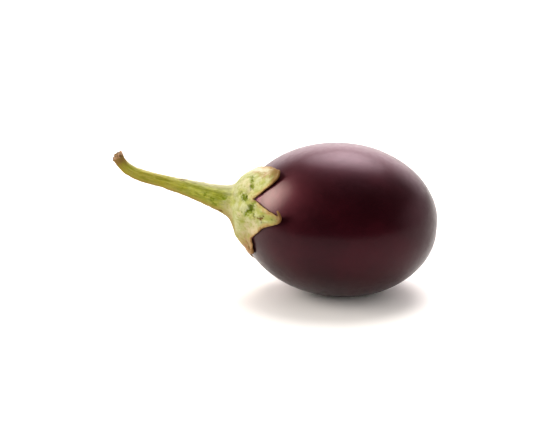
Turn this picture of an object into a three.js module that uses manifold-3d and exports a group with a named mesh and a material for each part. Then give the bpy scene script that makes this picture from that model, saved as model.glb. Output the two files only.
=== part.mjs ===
// A small oval eggplant, as picked, lying on its side. It is two pieces: the glossy fruit, and the
// green calyx with its stalk, which grew as one piece and clasps the fruit's stem end.
// Millimetres, +Z up. The origin is the middle of the flat spot that the fruit rests on.
// +X runs from the stalk to the blossom end, and the sepals are seen best from -Y.

import * as THREE from "three";
import { mergeVertices } from "three/addons/utils/BufferGeometryUtils.js";
import Module from "manifold-3d";

const DEG = Math.PI / 180;

// Fruit
const FRUIT_LENGTH = 76;
const FRUIT_WIDTH = 59;
const FULLNESS = 0.015; // how much fuller the blossom end is, as a share of the radius
const PITCH = 5 * DEG; // the stem end lies a little higher
const FLAT_DEPTH = 0.75; // how far the resting side is pressed flat
const OVALITY = 0.006;
const OVAL_TURN = 0.8;
const SHOULDER_LOBE = 0.008; // one low swelling under each sepal
const LOBE_AT = 0.75; // polar angle of the swellings
const LOBE_SPREAD = 0.5;
const SCAR_RADIUS = 3.4; // the dimple at the blossom end, with the style's stub in it
const SCAR_DEPTH = 0.7;
const STUB_RADIUS = 1.2;
const STUB_HEIGHT = 0.5;

// Calyx, in lengths over the skin from the fruit's stem end
const SKIN_GAP = 0.25;
const FLARE_REACH = 10.5; // where the stalk's flare becomes the calyx
const SHOULDER_START = 9;
const SHOULDER_END = 18.5;
const SHOULDER_THICKNESS = 3.1;
const SHOULDER_LEAN = 1.1; // the shoulder is thicker above, on the side that the stalk leans to,
const SHOULDER_DRIFT = 3.5; // and reaches further out there
const LEAN_TURN = 20 * DEG;
const MARGIN_THICKNESS = 0.75;
const TIP_THICKNESS = 0.7;
const LEAST_THICKNESS = 0.65;
const KEEL_HEIGHT = 0.45;
const KEEL_WIDTH = 1.7;
const GROOVE_DEPTH = 0.35; // the valley that runs from each notch towards the stalk
const GROOVE_WIDTH = 2;
const CREASE_DEPTH = 0.4; // and the crease across the root of each sepal
const CREASE_REACH = 15.8;
const CREASE_WIDTH = 1.3;
const CREASE_OFFSET = 3.2; // it is deepest this far to each side of the keel
const CREASE_SPREAD = 2.2;
const MARGIN_WAVE = 0.25;
const MARGIN_WAVES = 14;
const TIP_BLUNTNESS = 0.055; // half a tip's width, as a share of half the sepal's
const TIP_ROUNDING = 0.08; // the share of the margin over which the tip is rounded
const MARGIN_SLOPE = 0.12; // the share of a margin's width that widens evenly
const ROOT_BLEND = 25; // degrees on each side of a middle over which the notches' reach changes
const BEND_LIMIT = 0.45; // the most that a bent tip is gathered on its inside, as a share of the bend

// Each sepal's outline: the azimuth and reach of the notch before it, the azimuth of its middle,
// how far it reaches, how sharply each side tapers, and how far it leans round the fruit.
// Azimuths are in degrees round the axis, from the top towards -Y.
const OUTLINES = [
  { notch: -25, root: 16.2, middle: 28, reach: 29.8, taper: [1.8, 0.8], lean: 3 },
  { notch: 51, root: 16.4, middle: 77, reach: 34.2, taper: [2, 3.6], lean: -2 },
  { notch: 107, root: 16.9, middle: 132, reach: 19, taper: [1, 1.4], lean: -2 },
  { notch: 164, root: 15.6, middle: 208, reach: 30, taper: [1.25, 1.45], lean: 8 },
  { notch: 250, root: 16.2, middle: 291, reach: 28, taper: [1.1, 1.2], lean: -6 },
];
// Each sepal's tip: how far it lifts off the skin, the length of its curled end, how far that
// turns, and how much of the turn is sideways instead of outwards, in degrees.
const TIPS = [
  { lift: 0.7, curled: 2.6, turn: 50, aside: -15 },
  { lift: 0.3, curled: 6, turn: 130, aside: -58 },
  { lift: 0, curled: 1.5, turn: 8, aside: 0 },
  { lift: 0.7, curled: 4, turn: 80, aside: 25 },
  { lift: 1.1, curled: 3, turn: 50, aside: 15 },
];

// Stalk, in lengths along its middle line from where it leaves the fruit
const STALK_START = new THREE.Vector3(-38.5, 0, 2.85);
const STALK_LENGTH = 49.6;
const STALK_RISE = 12.3 * DEG; // how far it leans up from the fruit's axis
const HOOK_START = 34; // the far end hooks up from here
const HOOK_TURN = 52 * DEG;
const HOOK_POWER = 2.2;
const SIDE_SWAY = 5 * DEG; // a slight sway away from -Y and back
const TIP_RADIUS = 2.0;
const BASE_SWELL = 4.5; // added to the radius at the calyx
const SWELL_LENGTH = 14;
const RIB_HEIGHT = 0.06; // low ribs, one running into each sepal's keel, as a share of the radius
const RIB_WIDTH = 14 * DEG;
const FLAP_AT = -4 * DEG; // a raised strip along the top
const FLAP_END = 25.5; // it is torn off short here
const FLAP_FADE = 3;
const FLAP_HEIGHT = 0.5;
const FLAP_SWELL = 2.5; // added to its height at the calyx
const FLAP_SWELL_LENGTH = 7;
const FLAP_WIDTH = 24 * DEG;
const FLARE_START = 4.6;
const FLARE_PULL = [0.42, 0.38]; // how long the flare follows the stalk and the calyx

// Torn end of the stalk
const LIP_AT = 190 * DEG; // the bark's short lip, on the low side
const LIP_WIDTH = 62 * DEG;
const LIP_SPREAD = 0.25; // it bends out, as a share of the radius
const LIP_RISE = 0.3;
const STUB_RISE = 2.4; // the core stands this far past the lip
const CORE_DROP = 0.2; // the core's middle, and the groove round it, lie lower than the rim
const GROOVE_DROP = 0.5;
const TEAR_ROUGHNESS = 0.3;
const TORN_SHARES = [0.3, 0.62, 0.8, 1]; // the torn end's rings: two on the core, the groove, the rim

// Facets
const FRUIT_SIDES = 64;
const FRUIT_RINGS = 34;
const LINES_PER_SIDE = 8; // grid lines on each half of a sepal
const LINE_CROWDING = 1.5; // along the margin they crowd towards the tip
const LINE_GATHERING = 2; // the lines draw together towards the margin
const STALK_RINGS = 15;
const STALK_STEPS = 190; // steps along the stalk's middle line
const REACH_STEPS = 48;
const FLARE_RINGS = 5;
const SEPAL_RINGS = 14;
const INNER_RINGS = [0.6, 0.25]; // the underside's rings inside the flare, as shares of its reach

const SEPALS = OUTLINES.map((outline, k) => {
  return { ...outline, ...TIPS[k], next: OUTLINES[(k + 1) % OUTLINES.length] };
});

const HALF_LENGTH = FRUIT_LENGTH / 2;
const HALF_WIDTH = FRUIT_WIDTH / 2;

const smooth = (t) => {
  const c = Math.min(Math.max(t, 0), 1);
  return c * c * (3 - 2 * c);
};
const bell = (x) => Math.exp(-x * x);
const mix = (a, b, t) => a + (b - a) * t;
// An angle brought between minus and plus half a turn.
const wrapped = (angle) => Math.atan2(Math.sin(angle), Math.cos(angle));

// A point of the skin: theta runs from the stem end to the blossom end, phi round the axis from
// the top towards -Y.
function skinPoint(theta, phi) {
  const side = Math.sin(theta);
  const end = Math.cos(theta);
  const full = 1 - FULLNESS * end * side * side;
  const lobes = Math.cos(SEPALS.length * (phi - SEPALS[0].middle * DEG));
  const lobe = SHOULDER_LOBE * lobes * bell((theta - LOBE_AT) / LOBE_SPREAD);
  const oval = OVALITY * Math.cos(2 * phi - OVAL_TURN);
  const radius = HALF_WIDTH * side * full * (1 + (oval + lobe) * side * side);
  let x = -HALF_LENGTH * end * full;
  if (end < 0) x += STUB_HEIGHT * bell(radius / STUB_RADIUS) - SCAR_DEPTH * bell(radius / SCAR_RADIUS);
  return new THREE.Vector3(x, -radius * Math.sin(phi), radius * Math.cos(phi));
}

// The polar angle on the fruit at a length over the skin from its stem end.
function polarAngle(reach) {
  const step = reach / REACH_STEPS;
  let theta = 0;
  for (let i = 0; i < REACH_STEPS; i++) {
    theta += step / Math.hypot(HALF_LENGTH * Math.sin(theta), HALF_WIDTH * Math.cos(theta));
  }
  return theta;
}

// The unit normal of a surface given as a function of two parameters, out of the fruit.
function normalOf(surface, u, v) {
  const step = 2e-3;
  const along = surface(u + step, v).sub(surface(u - step, v));
  const round = surface(u, v + step).sub(surface(u, v - step));
  return round.cross(along).normalize();
}

// The reach of the notch that a sepal's edge runs to, on the side of an azimuth.
function rootReach(sepal, phi) {
  const off = wrapped(phi - sepal.middle * DEG) / DEG;
  return mix(sepal.root, sepal.next.root, smooth((off + ROOT_BLEND) / (2 * ROOT_BLEND)));
}

// How far out along its sepal a length over the skin lies: 0 at the root, 1 at the tip.
function outward(sepal, reach, phi) {
  const root = rootReach(sepal, phi);
  return Math.min(Math.max((reach - root) / (sepal.reach - root), 0), 1);
}

// A point of the calyx's underside. It follows the skin and lifts off it towards the tip, where
// the end turns outwards and aside like a bent strip.
function undersidePoint(sepal, reach, phi) {
  const out = outward(sepal, reach, phi);
  const over = Math.max(reach - (sepal.reach - sepal.curled), 0);
  const azimuth = phi + sepal.lean * DEG * out * out;
  const theta = polarAngle(reach - over);
  const normal = normalOf(skinPoint, theta, azimuth);
  const point = skinPoint(theta, azimuth).addScaledVector(normal, SKIN_GAP + sepal.lift * out ** 3);
  if (over === 0) return point;
  const side = new THREE.Vector3(0, -Math.cos(azimuth), -Math.sin(azimuth));
  const along = normal.clone().cross(side);
  const aside = sepal.aside * DEG;
  const toward = normal.multiplyScalar(Math.cos(aside)).addScaledVector(side, Math.sin(aside));
  const turn = ((sepal.turn * DEG) / sepal.curled) * over;
  const radius = sepal.curled / (sepal.turn * DEG);
  const offMiddle = wrapped(phi - sepal.middle * DEG) * HALF_WIDTH * Math.sin(theta);
  const off = Math.min(offMiddle * Math.sin(aside), BEND_LIMIT * radius);
  return point
    .addScaledVector(along, (radius - off) * Math.sin(turn))
    .addScaledVector(toward, (radius - off) * (1 - Math.cos(turn)));
}

// The angle from an azimuth to the nearest notch.
const notchDistance = (phi) => Math.min(...SEPALS.map((s) => Math.abs(wrapped(phi - s.notch * DEG))));

function thicknessAt(sepal, reach, phi) {
  const above = Math.cos(phi + LEAN_TURN);
  const shoulder = SHOULDER_THICKNESS + SHOULDER_LEAN * above;
  const shoulderEnd = SHOULDER_END + SHOULDER_DRIFT * above;
  const out = outward(sepal, reach, phi);
  const fall = smooth((reach - SHOULDER_START) / (shoulderEnd - SHOULDER_START));
  const body = mix(shoulder, mix(MARGIN_THICKNESS, TIP_THICKNESS, out), fall);
  const radius = HALF_WIDTH * Math.sin(polarAngle(reach));
  const offKeel = wrapped(phi - sepal.middle * DEG) * radius;
  const keel = KEEL_HEIGHT * (1 - out) * bell(offKeel / KEEL_WIDTH);
  const offNotch = notchDistance(phi) * radius;
  const groove = GROOVE_DEPTH * bell(offNotch / GROOVE_WIDTH) * (1 - out);
  const sideways = bell((Math.abs(offKeel) - CREASE_OFFSET) / CREASE_SPREAD);
  const crease = CREASE_DEPTH * sideways * bell((reach - CREASE_REACH) / CREASE_WIDTH) * (1 - out);
  return Math.max(body + keel - groove - crease, LEAST_THICKNESS);
}

function uppersidePoint(sepal, reach, phi) {
  const under = (r, p) => undersidePoint(sepal, r, p);
  return under(reach, phi).addScaledVector(normalOf(under, reach, phi), thicknessAt(sepal, reach, phi));
}

// How far off its middle a sepal's margin lies, as a share of the notch's distance, at a share of the
// way down from the tip to the notch before or after it.
function marginOff(sepal, before, down) {
  const blunt = TIP_BLUNTNESS * Math.sqrt(smooth(down / TIP_ROUNDING));
  return mix(blunt, 1, mix(down ** sepal.taper[before ? 0 : 1], down, MARGIN_SLOPE));
}

// The grid lines of the calyx and stalk. Each has its sepal, its azimuth on the stalk, and the reach
// and azimuth where it ends at the margin.
function gridLines() {
  const lines = [];
  SEPALS.forEach((sepal) => {
    const end = sepal.next.notch < sepal.middle ? sepal.next.notch + 360 : sepal.next.notch;
    for (let i = -LINES_PER_SIDE; i < LINES_PER_SIDE; i++) {
      const before = i < 0;
      const off = Math.abs(i) / LINES_PER_SIDE;
      const notch = before ? sepal.notch : end;
      const down = off ** LINE_CROWDING;
      const wave = MARGIN_WAVE * Math.sin(MARGIN_WAVES * down + sepal.middle) * 4 * down * (1 - down);
      lines.push({
        sepal,
        before,
        phi: mix(sepal.middle, notch, off) * DEG,
        marginPhi: mix(sepal.middle, notch, off === 0 ? 0 : marginOff(sepal, before, down)) * DEG,
        reach: mix(sepal.reach, before ? sepal.root : sepal.next.root, down) + wave,
      });
    }
  });
  return lines;
}

// The stalk's middle line, by adding up its direction from the fruit outwards.
function stalkLine() {
  const length = STALK_LENGTH / STALK_STEPS;
  const line = [{ at: STALK_START.clone(), to: null }];
  for (let i = 0; i <= STALK_STEPS; i++) {
    const s = i * length;
    const hooked = Math.max((s - HOOK_START) / (STALK_LENGTH - HOOK_START), 0);
    const rise = STALK_RISE + HOOK_TURN * hooked ** HOOK_POWER;
    const sway = SIDE_SWAY * Math.sin((2 * Math.PI * s) / STALK_LENGTH);
    const to = new THREE.Vector3(-Math.cos(rise), Math.sin(sway), Math.sin(rise)).normalize();
    line[i].to = to;
    line.push({ at: line[i].at.clone().addScaledVector(to, length), to });
  }
  return (s) => line[Math.round(Math.min(Math.max(s / length, 0), STALK_STEPS))];
}
const stalkAt = stalkLine();

// The stalk's outside at a length s along it: ribs towards the sepals, and the strip on top.
function barkRadius(s, phi) {
  const plain = TIP_RADIUS + BASE_SWELL * Math.exp(-s / SWELL_LENGTH);
  const ribs = SEPALS.reduce((sum, p) => sum + bell(wrapped(phi - p.middle * DEG) / RIB_WIDTH), 0);
  const flap = bell(wrapped(phi - FLAP_AT) / FLAP_WIDTH) * smooth((FLAP_END - s) / FLAP_FADE);
  const flapHeight = FLAP_HEIGHT + FLAP_SWELL * Math.exp(-s / FLAP_SWELL_LENGTH);
  return plain * (1 + RIB_HEIGHT * (ribs - 0.5)) + flapHeight * flap;
}

// A point of the stalk's cross-section at s, at a share of the bark's radius.
function stalkPoint(s, phi, share = 1, past = 0) {
  const { at, to } = stalkAt(s);
  const side = new THREE.Vector3(0, -1, 0).addScaledVector(to, to.y).normalize();
  const up = to.clone().cross(side);
  const radius = barkRadius(s, phi) * share;
  return at
    .clone()
    .addScaledVector(to, past)
    .addScaledVector(up, radius * Math.cos(phi))
    .addScaledVector(side, radius * Math.sin(phi));
}

// How much of the lip there is at an azimuth, from none to all.
const lipShare = (phi) => smooth(1.5 * bell(wrapped(phi - LIP_AT) / LIP_WIDTH) - 0.25);

// How far the torn end stands past the lip's level: the rim, a groove inside the lip, the core.
function tearHeight(share, phi) {
  const lip = lipShare(phi);
  const ragged = TEAR_ROUGHNESS * (Math.sin(5 * phi + 0.6) + Math.sin(8 * phi + 2.1));
  if (share === TORN_SHARES[3]) return mix(STUB_RISE + ragged, LIP_RISE, lip);
  if (share === TORN_SHARES[2]) return mix(STUB_RISE - GROOVE_DROP + ragged, -LIP_RISE, lip);
  return STUB_RISE - CORE_DROP + 0.6 * ragged * share;
}

// One closed body from rings of points between two end points. A strip's quads are split along
// one diagonal or the other, so that the upper and under faces of a sepal are split alike.
function closedBody(first, rings, last, leansBack) {
  const count = rings[0].length;
  const points = [first, ...rings.flat(), last];
  const id = (ring, line) => 1 + ring * count + (line % count);
  const faces = [];
  for (let j = 0; j < count; j++) {
    faces.push([0, id(0, j + 1), id(0, j)]);
    faces.push([points.length - 1, id(rings.length - 1, j), id(rings.length - 1, j + 1)]);
  }
  for (let i = 0; i + 1 < rings.length; i++) {
    for (let j = 0; j < count; j++) {
      const [a, b, c, d] = [id(i, j), id(i + 1, j), id(i + 1, j + 1), id(i, j + 1)];
      if (leansBack(i, j)) faces.push([a, d, b], [b, d, c]);
      else faces.push([a, d, c], [a, c, b]);
    }
  }
  return new THREE.BufferGeometry()
    .setAttribute("position", new THREE.Float32BufferAttribute(points.flatMap((p) => p.toArray()), 3))
    .setIndex(faces.flat());
}

// The rings crowd towards the blossom end, where the scar is.
function fruitBody() {
  const rings = [];
  for (let i = 1; i < FRUIT_RINGS; i++) {
    const t = i / FRUIT_RINGS;
    const theta = Math.PI * (t + 0.07 * Math.sin(Math.PI * t) ** 2);
    rings.push(
      Array.from({ length: FRUIT_SIDES }, (_, j) => skinPoint(theta, (2 * Math.PI * j) / FRUIT_SIDES)),
    );
  }
  return closedBody(skinPoint(0, 0), rings, skinPoint(Math.PI, 0), (i, j) => (i + j) % 2 === 0);
}

// The flare on one grid line, from the stalk's bark to the calyx's shoulder.
function flareCurve({ sepal, phi }) {
  const from = stalkPoint(FLARE_START, phi);
  const to = uppersidePoint(sepal, FLARE_REACH, phi);
  const step = 0.1;
  const ahead = uppersidePoint(sepal, FLARE_REACH + step, phi).sub(to).normalize();
  const back = stalkPoint(FLARE_START - 0.5, phi).sub(stalkPoint(FLARE_START + 0.5, phi)).normalize();
  const span = from.distanceTo(to);
  return new THREE.CubicBezierCurve3(
    from,
    from.clone().addScaledVector(back, FLARE_PULL[0] * span),
    to.clone().addScaledVector(ahead, -FLARE_PULL[1] * span),
    to,
  );
}

function calyxBody() {
  const lines = gridLines();
  const perLine = (make) => lines.map(make);
  const sepalShares = Array.from({ length: SEPAL_RINGS }, (_, i) => i / (SEPAL_RINGS - 1));
  const alongLine = (surface) => (share) =>
    perLine(({ sepal, phi, marginPhi, reach }) => {
      const gathered = 1 - (1 - share) ** LINE_GATHERING;
      return surface(sepal, mix(FLARE_REACH, reach, share), mix(phi, marginPhi, gathered));
    });
  const rings = [];
  for (const share of TORN_SHARES) {
    const spread = (phi) => (share === 1 ? 1 + LIP_SPREAD * lipShare(phi) : share);
    rings.push(perLine(({ phi }) => stalkPoint(STALK_LENGTH, phi, spread(phi), tearHeight(share, phi))));
  }
  for (let i = 0; i < STALK_RINGS; i++) {
    const s = mix(STALK_LENGTH - 0.6, FLARE_START, i / (STALK_RINGS - 1));
    rings.push(perLine(({ phi }) => stalkPoint(s, phi)));
  }
  const flares = perLine(flareCurve);
  for (let i = 1; i < FLARE_RINGS; i++) rings.push(flares.map((curve) => curve.getPoint(i / FLARE_RINGS)));
  rings.push(...sepalShares.map(alongLine(uppersidePoint)));
  const underFrom = rings.length;
  rings.push(...sepalShares.toReversed().map(alongLine(undersidePoint)));
  for (const share of INNER_RINGS) {
    rings.push(perLine(({ sepal, phi }) => undersidePoint(sepal, FLARE_REACH * share, phi)));
  }
  const tip = stalkPoint(STALK_LENGTH, 0, 0, tearHeight(0, 0));
  const inside = skinPoint(0, 0).add(new THREE.Vector3(-SKIN_GAP, 0, 0));
  return closedBody(tip, rings, inside, (i, j) => (i < underFrom) === lines[j].before);
}

const wasm = await Module();
wasm.setup();

function solidOf(geometry) {
  const bare = geometry.clone();
  bare.deleteAttribute("normal");
  bare.deleteAttribute("uv");
  const merged = mergeVertices(bare);
  return new wasm.Manifold(
    new wasm.Mesh({
      numProp: 3,
      vertProperties: new Float32Array(merged.attributes.position.array),
      triVerts: new Uint32Array(merged.index.array),
    }),
  );
}

function geometryOf(solid) {
  const mesh = solid.getMesh();
  return new THREE.BufferGeometry()
    .setAttribute("position", new THREE.BufferAttribute(mesh.vertProperties, 3))
    .setIndex(new THREE.BufferAttribute(mesh.triVerts, 1));
}

// Both pieces are modelled about the fruit's middle, with its axis along X, and laid down together.
const laid = new THREE.Group();
const drop = Math.hypot(HALF_LENGTH * Math.sin(PITCH), HALF_WIDTH * Math.cos(PITCH));
const lowestX = ((HALF_LENGTH ** 2 - HALF_WIDTH ** 2) * Math.sin(PITCH) * Math.cos(PITCH)) / drop;
laid.rotation.y = PITCH;
laid.position.set(-lowestX, 0, drop - FLAT_DEPTH);
laid.updateMatrix();

function fruit() {
  const below = new THREE.BoxGeometry(60, 60, 20).translate(0, 0, -10);
  below.applyMatrix4(laid.matrix.clone().invert());
  const pressed = solidOf(fruitBody()).subtract(solidOf(below));
  const skin = new THREE.MeshStandardMaterial({ color: "#3c1219", roughness: 0.3, metalness: 0 });
  const mesh = new THREE.Mesh(geometryOf(pressed), skin);
  mesh.name = "fruit";
  return mesh;
}

function calyxAndStalk() {
  const green = new THREE.MeshStandardMaterial({ color: "#b0a55e", roughness: 0.65, metalness: 0 });
  const mesh = new THREE.Mesh(calyxBody(), green);
  mesh.name = "calyx_and_stalk";
  return mesh;
}

laid.add(fruit(), calyxAndStalk());
for (const mesh of laid.children) mesh.geometry.computeVertexNormals();

const eggplant = new THREE.Group();
eggplant.add(laid);

export default eggplant;
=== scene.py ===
# A small oval eggplant on a pale table: the glossy fruit, and the calyx and stalk, which grew as one.
# The surfaces come from formulas in millimetres about the fruit's middle, on a fine grid and with
# fine relief. They become metres when they are laid on the table. theta is the polar angle from the
# fruit's stem end, phi or azimuth the angle round it from the top towards -Y, and s or stem the
# length along the stalk.

import math
from types import SimpleNamespace

import bpy
import numpy as np
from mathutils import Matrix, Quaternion, Vector, noise


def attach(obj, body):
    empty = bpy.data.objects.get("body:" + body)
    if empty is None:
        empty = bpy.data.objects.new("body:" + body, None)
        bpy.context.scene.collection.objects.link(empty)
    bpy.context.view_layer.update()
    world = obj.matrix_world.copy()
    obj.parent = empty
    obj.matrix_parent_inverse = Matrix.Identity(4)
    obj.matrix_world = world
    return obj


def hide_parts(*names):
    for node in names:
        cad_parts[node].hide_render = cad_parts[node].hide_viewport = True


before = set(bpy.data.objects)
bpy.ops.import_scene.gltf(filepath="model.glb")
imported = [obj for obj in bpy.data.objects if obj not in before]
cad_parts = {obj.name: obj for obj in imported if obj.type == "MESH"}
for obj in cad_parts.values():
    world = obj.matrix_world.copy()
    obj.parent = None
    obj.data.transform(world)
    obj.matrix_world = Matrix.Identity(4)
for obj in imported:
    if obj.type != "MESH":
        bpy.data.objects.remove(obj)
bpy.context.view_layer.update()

DEG = math.pi / 180
MM = 0.001

# Fruit
HALF_LENGTH = 38.0
HALF_WIDTH = 29.5
FULLNESS = 0.015
PITCH = 5 * DEG
FLAT_DEPTH = 0.75
OVALITY = 0.006
OVAL_TURN = 0.8  # twice the angle, in radians, that the oval section is turned by
SHOULDER_LOBE = 0.008
LOBES = 5
LOBE_TURN = 28 * DEG
LOBE_AT = 0.75  # the polar angle that the lobes spread about
LOBE_SPREAD = 0.5
DENT_SIZE = 22.0
DENT_DEPTH = 0.10
SCAR_RADIUS = 3.4
SCAR_DEPTH = 0.7
STUB_RADIUS = 1.2
STUB_HEIGHT = 0.5

# Calyx, in lengths over the skin from the fruit's stem end
SKIN_GAP = 0.25
FLARE_REACH = 10.5
SHOULDER_START = 9.0
SHOULDER_END = 18.5
SHOULDER_DRIFT = 3.5
SHOULDER_THICKNESS = 3.1
SHOULDER_LEAN = 1.1
THICKEST_AT = -20 * DEG  # the azimuth where the shoulder is thickest
MARGIN_THICKNESS = 0.75
TIP_THICKNESS = 0.7
LEAST_THICKNESS = 0.65
KEEL_HEIGHT = 0.45
KEEL_WIDTH = 1.7
GROOVE_DEPTH = 0.35
GROOVE_WIDTH = 2.0
CREASE_DEPTH = 0.4
CREASE_OFF = 3.2  # how far beside a sepal's keel the crease across it lies
CREASE_LENGTH = 2.2
CREASE_REACH = 15.8
CREASE_WIDTH = 1.3
MARGIN_WAVE = 0.25
MARGIN_WAVES = 14  # in radians, from the tip to the notch
NICK_DEPTH = 0.3
NICKS = 16  # in lumps of noise, from the tip to the notch
TIP_BLUNTNESS = 0.055
TIP_ROUNDING = 0.08
MARGIN_SLOPE = 0.12
EDGE_BULGE = 0.28
NOTCH_BLEND = 25  # degrees beside a sepal's middle where one notch's reach gives way to the other's
TIGHTEST_CURL = 0.45  # the most that the radius of a sideways curl shrinks by, as a share

# Each sepal: the azimuth and reach of the notch before it, the azimuth of its middle, how far it
# reaches, how sharply each side tapers, how far it leans round the fruit, and its tip's lift,
# curled length, turn and the share of the turn that is sideways. Azimuths are in degrees from the
# top towards -Y.
SEPALS = [
    dict(notch=-25, root=16.2, middle=28, reach=29.8, before=1.8, after=0.8, lean=3,
         lift=0.7, curled=2.6, turn=50, aside=-15),
    dict(notch=51, root=16.4, middle=77, reach=34.2, before=2.0, after=3.6, lean=-2,
         lift=0.3, curled=6.0, turn=130, aside=-58),
    dict(notch=107, root=16.9, middle=132, reach=19.0, before=1.0, after=1.4, lean=-2,
         lift=0.0, curled=1.5, turn=8, aside=0),
    dict(notch=164, root=15.6, middle=208, reach=30.0, before=1.25, after=1.45, lean=8,
         lift=0.7, curled=4.0, turn=80, aside=25),
    dict(notch=250, root=16.2, middle=291, reach=28.0, before=1.1, after=1.2, lean=-6,
         lift=1.1, curled=3.0, turn=50, aside=15),
]

# Stalk, in lengths along its middle line from where it leaves the fruit
STALK_START = np.array([-38.5, 0.0, 2.85])
STALK_LENGTH = 49.6
STALK_RISE = 12.3 * DEG
HOOK_START = 34.0
HOOK_TURN = 52 * DEG
HOOK_POWER = 2.2
SIDE_SWAY = 5 * DEG
TIP_RADIUS = 2.0
BASE_SWELL = 4.5
SWELL_LENGTH = 14.0
RIB_HEIGHT = 0.06
RIB_WIDTH = 14 * DEG
FLAP_AT = -4 * DEG  # a raised strip along the top
FLAP_END = 25.5  # it is torn off short here
FLAP_FADE = 3.0
FLAP_HEIGHT = 0.5
FLAP_SWELL = 2.5
FLAP_SWELL_LENGTH = 7.0
FLAP_WIDTH = 24 * DEG
FLARE_START = 4.6
FLARE_PULLS = (0.42, 0.38)  # how far the flare keeps each end's direction, as shares of its span
LIP_AT = 190 * DEG  # the bark's short lip, on the low side of the torn end
LIP_WIDTH = 62 * DEG
LIP_SPREAD = 0.25
LIP_RISE = 0.3
STUB_RISE = 2.4  # the rest of the rim stands this far past the lip's level
GROOVE_DROP = 0.5  # and the groove inside it and the core this far below the rim
CORE_DROP = 0.2
TEAR_WAVES = [(0.3, 5, 0.6), (0.3, 8, 2.1)]  # each a height, a count round the stalk and a turn
FIBRE_WAVES = [(0.16, 19, 1.3), (0.12, 31, 0.4)]
CORE_END = 0.62  # the torn core's radius and the bark's inner one, as shares of the stalk's
RIM_START = 0.8

# How much nearer to each notch the skin's mauve ends
BLUSH_FADE = [0.5, 0.0, 3.0, 1.0, 0.5]

# Relief: the heights and sizes of its lumps. Those that run along the stalk and sepals have a
# length, and the radius, in lumps, of the circle that they go round.
SOFT_SIZE = 2.6
SOFT_HEIGHT = 0.12
FINE_SIZE = 0.8
FINE_HEIGHT = 0.05
TORN_HEIGHT = 0.12
RIDGE_HEIGHT = 0.22
RIDGE_LENGTH = 9.0
RIDGES_ROUND = 2.6
VEIN_HEIGHT = 0.16
VEIN_LENGTH = 14.0
VEINS_ROUND = 5.0
GRAIN_LENGTH = 7.0
GRAIN_ROUND = 2.2

# Where the calyx and stalk are dry, pale or brown. The pale is partly their own colour and partly
# painted highlight on the tops that face the light. The scab is the brown end of the pale strip, the
# border is that of the first sepal's pale part, and the low side of the stalk is brown. The azimuths
# of the border and the bounds of the low side are in degrees.
DRY_AT = 134 * DEG
DRY_WIDTH = 30 * DEG
DRY_START = 9.5
PALE_AT = -6 * DEG
PALE_WIDTH = 26 * DEG
SCAB_AT = 12 * DEG
SCAB_WIDTH = 20 * DEG
SCAB_LENGTH = 2.2
SCAB_BACK = 1.8  # how far before the pale strip's end the scab's middle is
STRIP_SHORT = 0.8  # how far short of the raised strip's end the pale one stops
STRIP_RAGGED = 1.6
BORDER_NEAR = 3
BORDER_FAR = 22
BORDER_START = 16.5
BORDER_LENGTH = 6
BORDER_RAGGED = 6
FIRST_START = 14.5
FIRST_FADE = 2.5
STALK_FADE = 5  # the length over which the calyx's looks give way to the stalk's
LOW_AT = 160 * DEG
LOW_INSIDE = 26
LOW_OUTSIDE = 60

# Points that aren't on a sepal or at the blossom end count as this far from the margin and the scar.
FAR_FROM_MARGIN = 12.0
FAR_FROM_SCAR = 99

# Grid: the numbers of its lines and rings, and how they crowd
FRUIT_SIDES = 256
FRUIT_RINGS = 160
RING_DRIFT = 0.07
LINES_PER_SIDE = 26
LINE_CROWDING = 1.5
LINE_GATHERING = 2
STALK_RINGS = 120
FLARE_RINGS = 16
SEPAL_RINGS = 84
EDGE_RINGS = 3
UNDER_RINGS = 30
RING_SPREAD = 0.8
INNER_SHARES = (0.6, 0.25)  # of the flare's reach, for the rings under it
TEAR_SHARES = (0.12, 0.24, 0.36, 0.48, 0.58, 0.66, 0.72, 0.78, 0.84, 0.9, 0.96, 1.0)  # of the radius
SLEEVE_SHARES = (0.66, 0.33)  # of the rim's height, for the rings outside the bark below it
SLEEVE_TORN = (0.8, 0.5)  # and how torn they look

# Small marks on the calyx and the stalk, each a line between two places, with its half-width and
# depth in mm and how dark green and how brown it is. A place on the calyx is a reach and an
# azimuth; a place on the stalk is a length and an azimuth.
CALYX_MARKS = [
    ((13.1, 47), (13.5, 48), 0.80, 0.60, 1.0, 0.0),
    ((16.0, 12), (16.3, 20), 0.50, 0.35, 0.6, 0.0),
    ((16.3, 20), (16.9, 35), 0.65, 0.45, 0.8, 0.0),
    ((17.5, 57), (16.3, 65), 0.60, 0.45, 0.8, 0.0),
    ((16.3, 65), (14.8, 73), 0.80, 0.50, 0.9, 0.0),
    ((15.3, 61), (15.3, 62), 0.45, 0.30, 0.6, 0.0),
    ((18.8, 78), (23.4, 74), 0.36, 0.22, 0.0, 0.8),
    ((20.2, 77), (22.0, 76), 0.62, 0.38, 0.0, 1.0),
    ((19.7, 81), (20.7, 80), 0.36, 0.20, 0.0, 0.7),
    ((10.9, 67), (11.1, 68), 0.40, 0.28, 0.6, 0.0),
    ((14.8, 117), (17.4, 129), 0.50, 0.20, 0.0, 0.8),
    ((11.0, 92), (12.5, 96), 0.30, 0.20, 0.3, 0.4),
    ((14.2, 182), (14.9, 189), 0.60, 0.40, 0.8, 0.0),
    ((17.5, 214), (19.5, 205), 0.45, 0.40, 0.3, 0.6),
    ((15.5, 262), (16.4, 275), 0.55, 0.40, 0.8, 0.0),
    ((18.0, 300), (20.5, 296), 0.40, 0.35, 0.0, 0.9),
    ((13.2, 325), (13.7, 331), 0.55, 0.40, 0.8, 0.0),
]
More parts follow.
